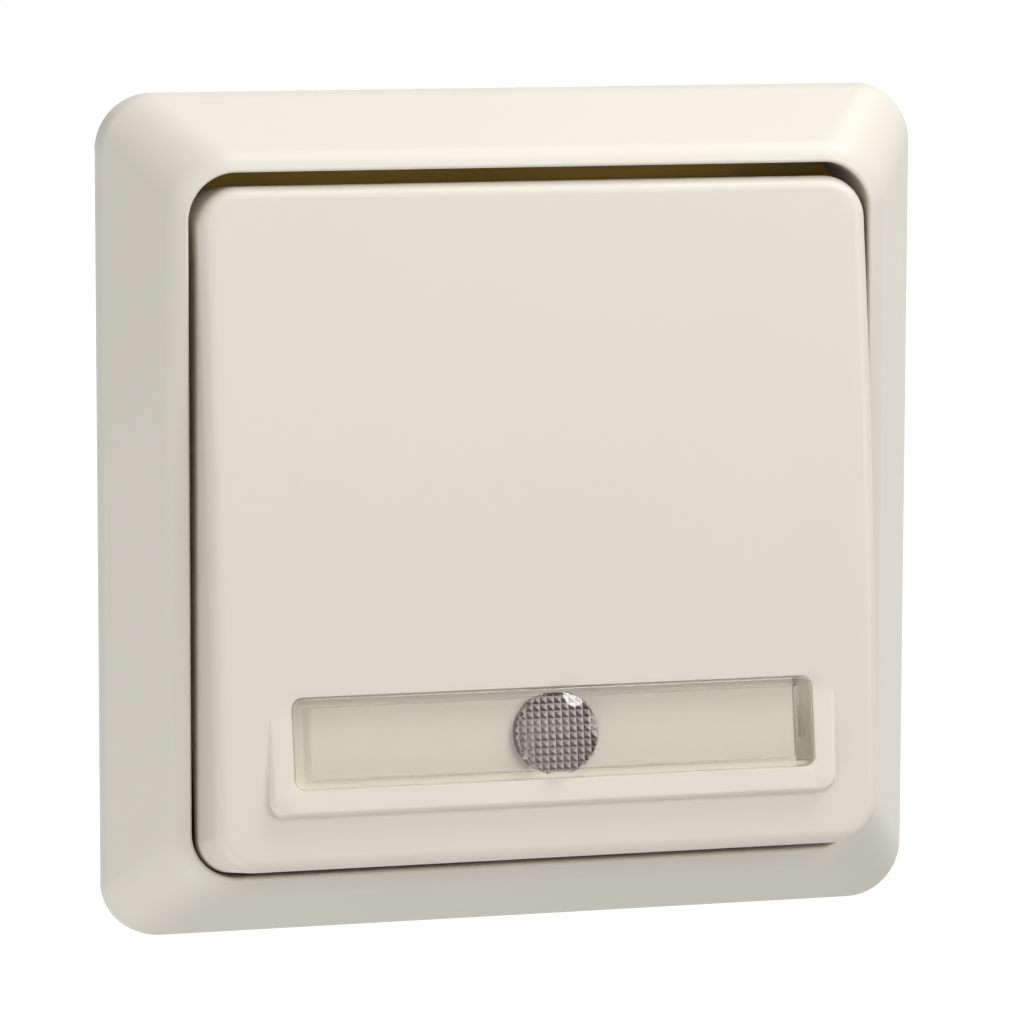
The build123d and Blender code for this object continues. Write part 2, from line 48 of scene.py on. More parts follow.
# pieces are drawn lying on their back in millimetres, then stood up facing -Y
standUp = Matrix.Rotation(math.radians(90), 4, "X") @ Matrix.Scale(0.001, 4)


# small modelling helpers
meshSizes = {"cornerSteps": 23, "evenWeight": 100, "weld": 0.000002, "cutWeld": 0.00001, "hairline": 0.001}


def roundedRing(bm, width, height, corner, level=0.0, centre=(0.0, 0.0)):
    # one grid face with its four corners rounded, kept as a ring of edges
    before = set(bm.faces)
    quad = bmesh.ops.create_grid(bm, x_segments=1, y_segments=1, size=0.5)["verts"]
    bmesh.ops.scale(bm, vec=(width, height, 1), verts=quad)
    bmesh.ops.translate(bm, vec=(centre[0], centre[1], level), verts=quad)
    bmesh.ops.bevel(bm, geom=quad, offset=corner, offset_type="OFFSET", affect="VERTICES",
                    segments=meshSizes["cornerSteps"], profile=0.5, material=-1)
    face = [f for f in bm.faces if f not in before][0]
    ring = list(face.edges)
    bmesh.ops.delete(bm, geom=[face], context="FACES_ONLY")
    return ring


def ringVerts(ring):
    return list({v for e in ring for v in e.verts})


def bridge(bm, ringA, ringB):
    return bmesh.ops.bridge_loops(bm, edges=ringA + ringB)["faces"]


def finishMesh(bm, name, smoothAngle):
    bmesh.ops.recalc_face_normals(bm, faces=bm.faces)
    if bm.calc_volume(signed=True) < 0:             # a deep ring can come out of it inside out
        bmesh.ops.reverse_faces(bm, faces=bm.faces)
    mesh = bpy.data.meshes.new(name)
    bm.to_mesh(mesh)
    bm.free()
    packed = mesh.attributes.get("custom_normal")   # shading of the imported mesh, which no longer fits
    if packed:
        mesh.attributes.remove(packed)
    for poly in mesh.polygons:
        poly.use_smooth = True
    mesh.set_sharp_from_angle(angle=math.radians(smoothAngle))
    piece = bpy.data.objects.new(name, mesh)
    scene.collection.objects.link(piece)
    # flat faces stay flat beside their rounds
    even = piece.modifiers.new("evenShading", "WEIGHTED_NORMAL")
    even.keep_sharp = True
    even.weight = meshSizes["evenWeight"]
    return piece


# camera at the photograph's place
cameraLook = {"azimuth": 15.637, "elevation": 7.773, "roll": 0.138, "distance": 0.529951,
              "sensor": 36.0, "lens": 191.897, "aimRight": 0.000485, "aimUp": -0.000683,
              "clipStart": 0.01, "clipEnd": 100.0}


def placeCamera(look):
    az = math.radians(look["azimuth"])
    el = math.radians(look["elevation"])
    roll = math.radians(look["roll"])
    back = Vector((-math.sin(az) * math.cos(el), -math.cos(az) * math.cos(el), math.sin(el)))
    right = (-back).cross(Vector((0, 0, 1))).normalized()
    up = right.cross(-back)
    place = back * look["distance"]
    target = right * look["aimRight"] + up * look["aimUp"]
    away = (place - target).normalized()
    side = (-away).cross(up).normalized()
    head = away.cross(side)
    turned = side * math.cos(roll) + head * math.sin(roll)
    raised = head * math.cos(roll) - side * math.sin(roll)
    data = bpy.data.cameras.new("photoCamera")
    data.sensor_width = look["sensor"]
    data.lens = look["lens"]
    data.clip_start = look["clipStart"]
    data.clip_end = look["clipEnd"]
    camera = bpy.data.objects.new("photoCamera", data)
    scene.collection.objects.link(camera)
    camera.matrix_world = Matrix((
        (turned.x, raised.x, away.x, place.x),
        (turned.y, raised.y, away.y, place.y),
        (turned.z, raised.z, away.z, place.z),
        (0, 0, 0, 1)))
    scene.camera = camera


placeCamera(cameraLook)
print("camera placed")


# node helpers and shared groups
def newMaterial(name):
    mat = bpy.data.materials.new(name)
    mat.use_nodes = True
    tree = mat.node_tree
    return mat, tree, tree.nodes["Principled BSDF"]


def addNode(tree, kind, **values):
    node = tree.nodes.new(kind)
    for key, value in values.items():
        if key in node.inputs:
            node.inputs[key].default_value = value
        else:
            setattr(node, key, value)
    return node


def groupTree(name, inputs, outputs):
    tree = bpy.data.node_groups.new(name, "ShaderNodeTree")
    for label, kind, value in inputs:
        socket = tree.interface.new_socket(label, in_out="INPUT", socket_type=kind)
        if value is not None:
            socket.default_value = value
    for label, kind in outputs:
        tree.interface.new_socket(label, in_out="OUTPUT", socket_type=kind)
    start = tree.nodes.new("NodeGroupInput")
    end = tree.nodes.new("NodeGroupOutput")
    return tree, start, end


# what the shared groups have in common: which part of the noise is used, and how it is stretched
noiseLook = {"low": 0.3, "high": 0.7, "driftRatio": 2.7, "lineStretch": (0.06, 1.0, 1.0)}


# moulded plastic: cloudy colour of the pellet mix, drifting gloss and a very fine skin
def makeMouldedSkin():
    tree, start, end = groupTree(
        "mouldedSkin",
        [("Pale", "NodeSocketColor", (0.8, 0.8, 0.8, 1)), ("Deep", "NodeSocketColor", (0.7, 0.7, 0.7, 1)),
         ("Gloss Low", "NodeSocketFloat", 0.2), ("Gloss High", "NodeSocketFloat", 0.3),
         ("Cloud Scale", "NodeSocketFloat", 60.0), ("Skin Scale", "NodeSocketFloat", 2500.0)],
        [("Color", "NodeSocketColor"), ("Roughness", "NodeSocketFloat"), ("Height", "NodeSocketFloat")])
    coords = addNode(tree, "ShaderNodeTexCoord")
    cloud = addNode(tree, "ShaderNodeTexNoise", Detail=3.0, Roughness=0.5)
    skin = addNode(tree, "ShaderNodeTexNoise", Detail=2.0, Roughness=0.6)
    drift = addNode(tree, "ShaderNodeTexNoise", Detail=4.0, Roughness=0.55)
    finer = addNode(tree, "ShaderNodeMath", operation="MULTIPLY")
    finer.inputs[1].default_value = noiseLook["driftRatio"]
    tone = addNode(tree, "ShaderNodeMix", data_type="RGBA")
    spread = addNode(tree, "ShaderNodeMapRange")
    spread.inputs["From Min"].default_value = noiseLook["low"]
    spread.inputs["From Max"].default_value = noiseLook["high"]
    link = tree.links.new
    link(coords.outputs["Object"], cloud.inputs["Vector"])
    link(coords.outputs["Object"], skin.inputs["Vector"])
    link(coords.outputs["Object"], drift.inputs["Vector"])
    link(start.outputs["Cloud Scale"], cloud.inputs["Scale"])
    link(start.outputs["Skin Scale"], skin.inputs["Scale"])
    link(start.outputs["Cloud Scale"], finer.inputs[0])
    link(finer.outputs[0], drift.inputs["Scale"])
    link(cloud.outputs["Fac"], tone.inputs["Factor"])
    link(start.outputs["Pale"], tone.inputs["A"])
    link(start.outputs["Deep"], tone.inputs["B"])
    link(drift.outputs["Fac"], spread.inputs["Value"])
    link(start.outputs["Gloss Low"], spread.inputs["To Min"])
    link(start.outputs["Gloss High"], spread.inputs["To Max"])
    link(tone.outputs["Result"], end.inputs["Color"])
    link(spread.outputs["Result"], end.inputs["Roughness"])
    link(skin.outputs["Fac"], end.inputs["Height"])
    return tree


# drawn or stamped metal: fine lines along one axis, dull patches and a faint tarnish
def makeStampedMetal():
    tree, start, end = groupTree(
        "stampedMetal",
        [("Bright", "NodeSocketColor", (0.7, 0.7, 0.7, 1)), ("Dull", "NodeSocketColor", (0.5, 0.5, 0.5, 1)),
         ("Gloss Low", "NodeSocketFloat", 0.2), ("Gloss High", "NodeSocketFloat", 0.45),
         ("Line Scale", "NodeSocketFloat", 900.0)],
        [("Color", "NodeSocketColor"), ("Roughness", "NodeSocketFloat"), ("Height", "NodeSocketFloat")])
    coords = addNode(tree, "ShaderNodeTexCoord")
    stretch = addNode(tree, "ShaderNodeMapping")
    stretch.inputs["Scale"].default_value = noiseLook["lineStretch"]
    lines = addNode(tree, "ShaderNodeTexNoise", Detail=3.0, Roughness=0.6)
    patches = addNode(tree, "ShaderNodeTexNoise", Scale=140.0, Detail=5.0, Roughness=0.6)
    tone = addNode(tree, "ShaderNodeMix", data_type="RGBA")
    spread = addNode(tree, "ShaderNodeMapRange")
    spread.inputs["From Min"].default_value = noiseLook["low"]
    spread.inputs["From Max"].default_value = noiseLook["high"]
    link = tree.links.new
    link(coords.outputs["Object"], stretch.inputs["Vector"])
    link(stretch.outputs["Vector"], lines.inputs["Vector"])
    link(start.outputs["Line Scale"], lines.inputs["Scale"])
    link(coords.outputs["Object"], patches.inputs["Vector"])
    link(patches.outputs["Fac"], tone.inputs["Factor"])
    link(start.outputs["Bright"], tone.inputs["A"])
    link(start.outputs["Dull"], tone.inputs["B"])
    link(lines.outputs["Fac"], spread.inputs["Value"])
    link(start.outputs["Gloss Low"], spread.inputs["To Min"])
    link(start.outputs["Gloss High"], spread.inputs["To Max"])
    link(tone.outputs["Result"], end.inputs["Color"])
    link(spread.outputs["Result"], end.inputs["Roughness"])
    link(lines.outputs["Fac"], end.inputs["Height"])
    return tree


mouldedSkin = makeMouldedSkin()
stampedMetal = makeStampedMetal()


def surfaceFrom(group, name, look):
    mat, tree, shader = newMaterial(name)
    skin = tree.nodes.new("ShaderNodeGroup")
    skin.node_tree = group
    for key, value in look["skin"].items():
        skin.inputs[key].default_value = value
    bump = addNode(tree, "ShaderNodeBump", Strength=look["bump"], Distance=look["bumpDepth"])
    tree.links.new(skin.outputs["Color"], shader.inputs["Base Color"])
    tree.links.new(skin.outputs["Roughness"], shader.inputs["Roughness"])
    tree.links.new(skin.outputs["Height"], bump.inputs["Height"])
    tree.links.new(bump.outputs["Normal"], shader.inputs["Normal"])
    shader.inputs["Metallic"].default_value = look.get("metallic", 0.0)
    shader.inputs["IOR"].default_value = look.get("ior", 1.5)
    return mat


def rgb(r, g, b):
    return (r, g, b, 1.0)


coverLook = {"skin": {"Pale": rgb(0.735, 0.703, 0.612), "Deep": rgb(0.715, 0.683, 0.590), "Gloss Low": 0.4,
                      "Gloss High": 0.46, "Cloud Scale": 45.0, "Skin Scale": 1800.0},
             "bump": 0.06, "bumpDepth": 0.00005, "ior": 1.49}
carrierLook = {"skin": {"Pale": rgb(0.56, 0.56, 0.53), "Deep": rgb(0.50, 0.50, 0.475), "Gloss Low": 0.42,
                        "Gloss High": 0.58, "Cloud Scale": 90.0, "Skin Scale": 3500.0},
               "bump": 0.25, "bumpDepth": 0.0001}
housingLook = {"skin": {"Pale": rgb(0.60, 0.58, 0.50), "Deep": rgb(0.53, 0.51, 0.44), "Gloss Low": 0.40,
                        "Gloss High": 0.56, "Cloud Scale": 80.0, "Skin Scale": 3000.0},
               "bump": 0.25, "bumpDepth": 0.0001}
plungerLook = {"skin": {"Pale": rgb(0.075, 0.08, 0.09), "Deep": rgb(0.055, 0.06, 0.07), "Gloss Low": 0.4,
                        "Gloss High": 0.55, "Cloud Scale": 120.0, "Skin Scale": 4000.0},
               "bump": 0.2, "bumpDepth": 0.0001}
leverLook = {"skin": {"Pale": rgb(0.27, 0.28, 0.30), "Deep": rgb(0.22, 0.23, 0.25), "Gloss Low": 0.28,
                      "Gloss High": 0.4, "Cloud Scale": 160.0, "Skin Scale": 4000.0},
             "bump": 0.15, "bumpDepth": 0.0001}
plateLook = {"skin": {"Bright": rgb(0.38, 0.25, 0.06), "Dull": rgb(0.30, 0.19, 0.04), "Gloss Low": 0.5,
                      "Gloss High": 0.62, "Line Scale": 900.0},
             "bump": 0.12, "bumpDepth": 0.00008, "metallic": 1.0}
screwLook = {"skin": {"Bright": rgb(0.60, 0.60, 0.58), "Dull": rgb(0.46, 0.46, 0.44), "Gloss Low": 0.2,
                      "Gloss High": 0.36, "Line Scale": 2200.0},
             "bump": 0.1, "bumpDepth": 0.00005, "metallic": 1.0}
brassLook = {"skin": {"Bright": rgb(0.78, 0.58, 0.25), "Dull": rgb(0.62, 0.44, 0.19), "Gloss Low": 0.18,
                      "Gloss High": 0.34, "Line Scale": 1200.0},
             "bump": 0.1, "bumpDepth": 0.00005, "metallic": 1.0}
silverLook = {"skin": {"Bright": rgb(0.86, 0.85, 0.82), "Dull": rgb(0.72, 0.70, 0.66), "Gloss Low": 0.12,
                       "Gloss High": 0.26, "Line Scale": 2600.0},
              "bump": 0.08, "bumpDepth": 0.00003, "metallic": 1.0}
springLook = {"skin": {"Bright": rgb(0.48, 0.48, 0.49), "Dull": rgb(0.36, 0.36, 0.37), "Gloss Low": 0.16,
                       "Gloss High": 0.3, "Line Scale": 3000.0},
              "bump": 0.08, "bumpDepth": 0.00003, "metallic": 1.0}
ceramicLook = {"skin": {"Pale": rgb(0.56, 0.43, 0.24), "Deep": rgb(0.50, 0.37, 0.20), "Gloss Low": 0.35,
                        "Gloss High": 0.5, "Cloud Scale": 400.0, "Skin Scale": 6000.0},
               "bump": 0.2, "bumpDepth": 0.00005}
paperLook = {"skin": {"Pale": rgb(0.73, 0.695, 0.615), "Deep": rgb(0.70, 0.665, 0.585), "Gloss Low": 0.75,
                      "Gloss High": 0.9, "Cloud Scale": 700.0, "Skin Scale": 9000.0},
             "bump": 0.3, "bumpDepth": 0.00003}

coverPlastic = surfaceFrom(mouldedSkin, "coverPlastic", coverLook)
carrierPlastic = surfaceFrom(mouldedSkin, "carrierPlastic", carrierLook)
housingPlastic = surfaceFrom(mouldedSkin, "housingPlastic", housingLook)
plungerPlastic = surfaceFrom(mouldedSkin, "plungerPlastic", plungerLook)
leverPlastic = surfaceFrom(mouldedSkin, "leverPlastic", leverLook)
resistorBody = surfaceFrom(mouldedSkin, "resistorBody", ceramicLook)
labelPaper = surfaceFrom(mouldedSkin, "labelPaper", paperLook)
platedSteel = surfaceFrom(stampedMetal, "platedSteel", plateLook)
screwSteel = surfaceFrom(stampedMetal, "screwSteel", screwLook)
contactBrass = surfaceFrom(stampedMetal, "contactBrass", brassLook)
contactSilver = surfaceFrom(stampedMetal, "contactSilver", silverLook)
springSteel = surfaceFrom(stampedMetal, "springSteel", springLook)


# clear pieces let light through to what lies behind them
windowLook = {"tint": rgb(0.95, 0.945, 0.925), "ior": 1.49, "glossLow": 0.01, "glossHigh": 0.05, "flowScale": 220.0}
bulbLook = {"tint": rgb(0.96, 0.93, 0.88), "ior": 1.5, "glossLow": 0.01, "glossHigh": 0.04, "flowScale": 220.0}


def clearMaterial(name, look):
    mat, tree, shader = newMaterial(name)
    coords = addNode(tree, "ShaderNodeTexCoord")
    flow = addNode(tree, "ShaderNodeTexNoise", Scale=look["flowScale"], Detail=2.0)
    spread = addNode(tree, "ShaderNodeMapRange")
    spread.inputs["To Min"].default_value = look["glossLow"]
    spread.inputs["To Max"].default_value = look["glossHigh"]
    tree.links.new(coords.outputs["Object"], flow.inputs["Vector"])
    tree.links.new(flow.outputs["Fac"], spread.inputs["Value"])
    tree.links.new(spread.outputs["Result"], shader.inputs["Roughness"])
    shader.inputs["Base Color"].default_value = look["tint"]
    shader.inputs["Transmission Weight"].default_value = 1.0
    shader.inputs["IOR"].default_value = look["ior"]
    path = addNode(tree, "ShaderNodeLightPath")
    passing = addNode(tree, "ShaderNodeMath", operation="MAXIMUM")
    clear = addNode(tree, "ShaderNodeBsdfTransparent", Color=look["tint"])
    mix = addNode(tree, "ShaderNodeMixShader")
    out = tree.nodes["Material Output"]
    tree.links.new(path.outputs["Is Shadow Ray"], passing.inputs[0])
    tree.links.new(path.outputs["Is Diffuse Ray"], passing.inputs[1])
    tree.links.new(passing.outputs[0], mix.inputs[0])
    tree.links.new(shader.outputs["BSDF"], mix.inputs[1])
    tree.links.new(clear.outputs["BSDF"], mix.inputs[2])
    tree.links.new(mix.outputs["Shader"], out.inputs["Surface"])
    return mat


# back of the lens: each prism face takes a painted glint or a painted shade, picked by the way it points
prismLook = {"glint": rgb(0.82, 0.75, 0.68), "dark": rgb(0.04, 0.031, 0.024),
             "through": 0.12, "gloss": 0.12, "ior": 1.49}


def prismMaterial(name, look):
    mat, tree, shader = newMaterial(name)
    turned = addNode(tree, "ShaderNodeAttribute", attribute_name="paintedPrismShade")
    tone = addNode(tree, "ShaderNodeMix", data_type="RGBA")
    # painted glint and painted shade: mixed by the value stored on each face
    tone.inputs["A"].default_value = look["glint"]
    tone.inputs["B"].default_value = look["dark"]
    tree.links.new(turned.outputs["Fac"], tone.inputs["Factor"])
    tree.links.new(tone.outputs["Result"], shader.inputs["Base Color"])
    shader.inputs["Transmission Weight"].default_value = look["through"]
    shader.inputs["Roughness"].default_value = look["gloss"]
    shader.inputs["IOR"].default_value = look["ior"]
    return mat


clearPlastic = clearMaterial("clearPlastic", windowLook)
lampGlass = clearMaterial("lampGlass", bulbLook)
prismGlintAndShade = prismMaterial("prismGlintAndShade", prismLook)
print("materials made")


# cover frame: rings of its section bridged round, then its edges rounded
bezelSizes = {"size": 81.0, "corner": 5.5, "depth": 9.7, "wall": 1.8, "roof": 4.1, "sideHeight": 1.6,
              "sideDraft": 0.15, "ridgeInset": 5.5, "ridgeDrop": 0.8, "ridgeCorner": 5.8, "bandWidth": 1.5,
              "openingCorner": 4.6, "skirtWall": 1.0, "plate": 1.0,
              "footRound": 0.25, "sideRound": 0.5, "ridgeRound": 0.9, "lipRound": 0.4,
              "roundSteps": 5, "sharp": 50}


def makeBezelFrame(s):
    bm = bmesh.new()
    half = s["size"] / 2
    opening = half - s["ridgeInset"] - s["bandWidth"]
    ridge = s["depth"] - s["ridgeDrop"]
    run = s["ridgeInset"] - s["sideDraft"]
    rise = ridge - s["sideHeight"]
    bevelWall = s["wall"] * math.hypot(run, rise) / rise
    hollowTop = s["depth"] - s["roof"]
    hollowHalf = half - s["sideDraft"] - bevelWall - (hollowTop - s["sideHeight"]) * run / rise
    skirt = opening + s["skirtWall"]
    skirtCorner = s["openingCorner"] + s["skirtWall"]
    section = [
        (half, s["corner"], 0),
        (half - s["sideDraft"], s["corner"], s["sideHeight"]),
        (half - s["ridgeInset"], s["ridgeCorner"], ridge),
        (opening, s["openingCorner"], s["depth"]),
        (opening, s["openingCorner"], s["plate"]),
        (skirt, skirtCorner, s["plate"]),
        (skirt, skirtCorner, hollowTop),
        (hollowHalf, skirtCorner + hollowHalf - skirt, hollowTop),
        (half - s["sideDraft"] - bevelWall, s["corner"] - s["wall"], s["sideHeight"]),
        (half - s["wall"], s["corner"] - s["wall"], 0)]
    rings = [roundedRing(bm, 2 * h, 2 * h, c, order) for order, (h, c, z) in enumerate(section)]
    for ring, following in zip(rings, rings[1:] + rings[:1]):
        bridge(bm, ring, following)
    for ring, (h, c, z) in zip(rings, section):     # bridged one above the other, then set to their levels
        for v in ringVerts(ring):
            v.co.z = z
    for ring, rounding in zip(rings, ("footRound", "sideRound", "ridgeRound", "lipRound")):
        bmesh.ops.bevel(bm, geom=ring, offset=s[rounding], offset_type="OFFSET", affect="EDGES",
                        segments=s["roundSteps"], profile=0.5, material=-1)
    bmesh.ops.transform(bm, matrix=standUp, verts=bm.verts)
    piece = finishMesh(bm, "bezelFrame", s["sharp"])
    piece.data.materials.append(coverPlastic)
    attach(piece, "insert")
    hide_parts("cover_frame")


makeBezelFrame(bezelSizes)
print("cover frame made")


# rocker: crowned push plate, label field raised on its lower part, pocket, light port
rockerSizes = {"width": 65.7, "height": 64.4, "corner": 4.0, "offset": 0.25, "shift": -0.35, "round": 1.4,
               "roundSteps": 7, "wall": 1.8, "reach": 2.6, "rise": 6.4, "crown": 500.0, "tilt": 5.9, "pivot": 7.5,
               "crownCuts": 9, "crownPitch": 3.0, "crownShift": 0.1,
               "labelCentre": -20.48, "labelShift": 0.53, "labelTilt": 3.8,
               "fieldWidth": 55.7, "fieldAbove": 2.88, "fieldBelow": 6.79, "fieldLap": 2.6, "fieldCorner": 1.6,
               "fieldThick": 3.2,
               "fieldStep": ((0.3, 0.0), (0.1, 0.03), (0.02, 0.12), (0.0, 0.3), (-0.04, 0.55), (-0.13, 0.78),
                             (-0.27, 0.93), (-0.45, 1.0)),      # outward, share of the field's height
               "pocketWidth": 51.4, "pocketHeight": 8.75, "pocketCorner": 1.1, "pocketDepth": 1.4,
               "pocketLip": ((0.12, 0.0), (0.03, 0.03), (0.0, 0.12)),   # outward, depth
               "portRadius": 3.6, "slotWidth": 1.7, "slotHalf": 3.9, "slotDepth": 1.3, "shallow": 0.5,
               "footCorner": 3.2, "footLeft": 0.3, "footRight": 0.0, "footBelow": (0.5, 0.1), "footAbove": 0.2,
               "sharp": 50}

tiltUp = standUp @ Matrix.Translation((0, 0, rockerSizes["pivot"])) @ Matrix.Rotation(
    math.radians(-rockerSizes["tilt"]), 4, "X")


def crownLevel(y, s=rockerSizes):
    return s["rise"] - s["crown"] + math.sqrt(s["crown"] ** 2 - y * y)


def fieldLevel(y, s=rockerSizes):
    meet = s["labelCentre"] + s["fieldAbove"]
    return crownLevel(meet) + (meet - y) * math.tan(math.radians(s["labelTilt"]))


def makeRockerShell(s):
    bm = bmesh.new()
    lift = bm.verts.layers.float.new("lift")    # 0 on the crowned face, 1 on the label field
    sink = bm.verts.layers.float.new("sink")    # depth below that surface
    fieldTop = s["fieldAbove"] + s["fieldLap"]
    fieldMid = (s["labelShift"], s["labelCentre"] + (fieldTop - s["fieldBelow"]) / 2)
    fieldHeight = fieldTop + s["fieldBelow"]
    label = (s["labelShift"], s["labelCentre"])

    def ringAt(width, height, corner, centre, liftBy, sinkBy):
        ring = roundedRing(bm, width, height, corner, len(rings), centre)
        for v in ringVerts(ring):
            v[lift] = liftBy
            v[sink] = sinkBy
        return ring

    def onField(v):
        return v[lift] > 0.9

    rings = []
    for step in range(s["roundSteps"] + 1):     # rounded edge of the push plate
        turn = math.radians(90 * step / s["roundSteps"])
        inset = s["round"] * (1 - math.cos(turn))
        deep = s["round"] * (1 - math.sin(turn))
        rings.append(ringAt(s["width"] - 2 * inset, s["height"] - 2 * inset, s["corner"] - inset,
                            (s["offset"], s["shift"]), 0, deep))
    for grow, up in s["fieldStep"]:
        rings.append(ringAt(s["fieldWidth"] + 2 * grow, fieldHeight + 2 * grow, s["fieldCorner"] + grow,
                            fieldMid, up, 0))
    for grow, deep in s["pocketLip"] + ((0, s["pocketDepth"]),):    # pocket for the window
        rings.append(ringAt(s["pocketWidth"] + 2 * grow, s["pocketHeight"] + 2 * grow,
                            s["pocketCorner"] + grow, label, 1, deep))
    port = 2 * s["portRadius"]
    for deep in (s["pocketDepth"], s["fieldThick"]):
        rings.append(ringAt(port, port, s["portRadius"] - meshSizes["hairline"], label, 1, deep))
    for ring, following in zip(rings, rings[1:]):
        bridge(bm, ring, following)

    # the face follows the crown between cuts every few millimetres, and one where the field grows out of it
    cuts = [s["crownPitch"] * step + s["crownShift"] for step in range(-s["crownCuts"], s["crownCuts"] + 1)]
    for cut in cuts + [s["labelCentre"] + s["fieldAbove"]]:
        bmesh.ops.bisect_plane(bm, geom=bm.verts[:] + bm.edges[:] + bm.faces[:], dist=meshSizes["cutWeld"],
                               plane_co=(0, cut, 0), plane_no=(0, 1, 0))

    # blind slot for the window's lug, in the floor of the pocket at its right-hand end
    def pocketFloor():
        return [f for f in bm.faces if all(
            abs(v[sink] - s["pocketDepth"]) < meshSizes["hairline"] and onField(v) for v in f.verts)]

    slotLeft = label[0] + s["pocketWidth"] / 2 - s["slotWidth"]
    for place, across in (((slotLeft, 0, 0), (1, 0, 0)), ((0, label[1] + s["slotHalf"], 0), (0, 1, 0)),
                          ((0, label[1] - s["slotHalf"], 0), (0, 1, 0))):
        floor = pocketFloor()
        geom = floor + list({e for f in floor for e in f.edges}) + list({v for f in floor for v in f.verts})
        bmesh.ops.bisect_plane(bm, geom=geom, dist=meshSizes["cutWeld"], plane_co=place, plane_no=across)
    opened = [f for f in pocketFloor() if f.calc_center_median().x > slotLeft
              and abs(f.calc_center_median().y - label[1]) < s["slotHalf"]]
    mouth = [e for f in opened for e in f.edges if sum(g in opened for g in e.link_faces) == 1]
    bmesh.ops.delete(bm, geom=opened, context="FACES")
    walls = bmesh.ops.extrude_edge_only(bm, edges=[e for e in mouth if e.is_valid])["geom"]
    wallVerts = [v for v in walls if isinstance(v, bmesh.types.BMVert)]
    for v in wallVerts:
        v[lift] = 1
        v[sink] = s["pocketDepth"] + s["slotDepth"]
    bmesh.ops.edgeloop_fill(bm, edges=[e for e in walls if isinstance(e, bmesh.types.BMEdge)
                                       and all(v in wallVerts for v in e.verts)])

    for v in bm.verts:
        crown = crownLevel(v.co.y)
        field = fieldLevel(v.co.y)
        if v[sink] > s["shallow"] and onField(v):
            v.co.z = field - v[sink]
        else:
            v.co.z = crown + v[lift] * max(0.0, field - crown) - v[sink]

    # skirt, its foot and the inside wall up to the underside of the face
    def risen(geom, kind):
        return [g for g in geom if isinstance(g, kind)]

    def between(edges, verts):
        return [e for e in edges if all(v in verts for v in e.verts)]

    edge = [e for e in bm.edges if len(e.link_faces) == 1
            and all(abs(v[sink] - s["round"]) < meshSizes["hairline"] and not onField(v) for v in e.verts)]
    skirt = bmesh.ops.extrude_edge_only(bm, edges=edge)["geom"]
    skirtVerts = set(risen(skirt, bmesh.types.BMVert))
    straight = (s["width"] / 2 - s["corner"], s["height"] / 2 - s["corner"])
    tighter = s["footCorner"] / s["corner"]
    for v in skirtVerts:        # the skirt widens towards its foot, most at the left corners
        x = v.co.x - s["offset"]
        y = v.co.y - s["shift"]
        over = (abs(x) - straight[0], abs(y) - straight[1])
        across = 0.5 + x / s["width"]
        below = s["footBelow"][0] * (1 - across) + s["footBelow"][1] * across
        if min(over) > 0 and x < 0:
            x = math.copysign(straight[0] + s["corner"] - s["footCorner"] + over[0] * tighter, x)
            y = math.copysign(straight[1] + s["corner"] - s["footCorner"] + over[1] * tighter, y)
        x *= 1 + 2 * (s["footLeft"] if x < 0 else s["footRight"]) / s["width"]
        y *= 1 + 2 * (below if y < 0 else s["footAbove"]) / s["height"]
        v.co = (s["offset"] + x, s["shift"] + y, -s["reach"])
    foot = between(risen(skirt, bmesh.types.BMEdge), skirtVerts)
    inner = bmesh.ops.extrude_edge_only(bm, edges=foot)["geom"]
    innerVerts = set(risen(inner, bmesh.types.BMVert))
    shrink = ((s["width"] - 2 * s["wall"]) / s["width"], (s["height"] - 2 * s["wall"]) / s["height"], 1)
    bmesh.ops.scale(bm, vec=shrink, verts=list(innerVerts),
                    space=Matrix.Translation((-s["offset"], -s["shift"], 0)))
    innerFoot = between(risen(inner, bmesh.types.BMEdge), innerVerts)
    roof = bmesh.ops.extrude_edge_only(bm, edges=innerFoot)["geom"]
    roofVerts = set(risen(roof, bmesh.types.BMVert))
    for v in roofVerts:
        v.co.z = crownLevel(v.co.y) - s["wall"]
    roofRing = between(risen(roof, bmesh.types.BMEdge), roofVerts)
    portFoot = [e for e in bm.edges if len(e.link_faces) == 1
                and all(v[sink] > s["fieldThick"] - meshSizes["hairline"] for v in e.verts)]
    bmesh.ops.triangle_fill(bm, edges=roofRing + portFoot, use_beauty=True)
    bmesh.ops.transform(bm, matrix=tiltUp, verts=bm.verts)
    piece = finishMesh(bm, "rockerShell", s["sharp"])
    piece.data.materials.append(coverPlastic)
    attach(piece, "rocker")
    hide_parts("rocker")


makeRockerShell(rockerSizes)
print("rocker made")


# window with the signal lens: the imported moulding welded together, its dome made fine
windowSizes = {"proud": 0.25, "lensRise": 0.85, "domeRadius": 16.0, "domeHalf": 4.0, "domeAbove": 0.2,
               "domeFit": 0.02, "cuts": 4, "lensFoot": 3.9, "prismTop": -1.1, "prismFlat": 0.95,
               "paintedFacetShade": (0.0, 1.0, 0.45, 1.0),     # painted shade of the prism faces pointing right, left, up and down: 0 gives the painted glint, 1 the painted shade
               # painted shade of the lens side wall, close to the darkest prism faces
               "paintedRimShade": 0.9, "rimInside": 3.2, "rimOutside": 4.3, "rimFlat": 0.3, "sharp": 20}
labelUp = tiltUp @ Matrix.Translation((rockerSizes["labelShift"], rockerSizes["labelCentre"],
                                       fieldLevel(rockerSizes["labelCentre"]))) @ Matrix.Rotation(
    math.radians(-rockerSizes["labelTilt"]), 4, "X")


def weldedCopy(node):
    bm = bmesh.new()
    bm.from_mesh(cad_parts[node].data)
    bmesh.ops.remove_doubles(bm, verts=bm.verts, dist=meshSizes["weld"])
    return bm


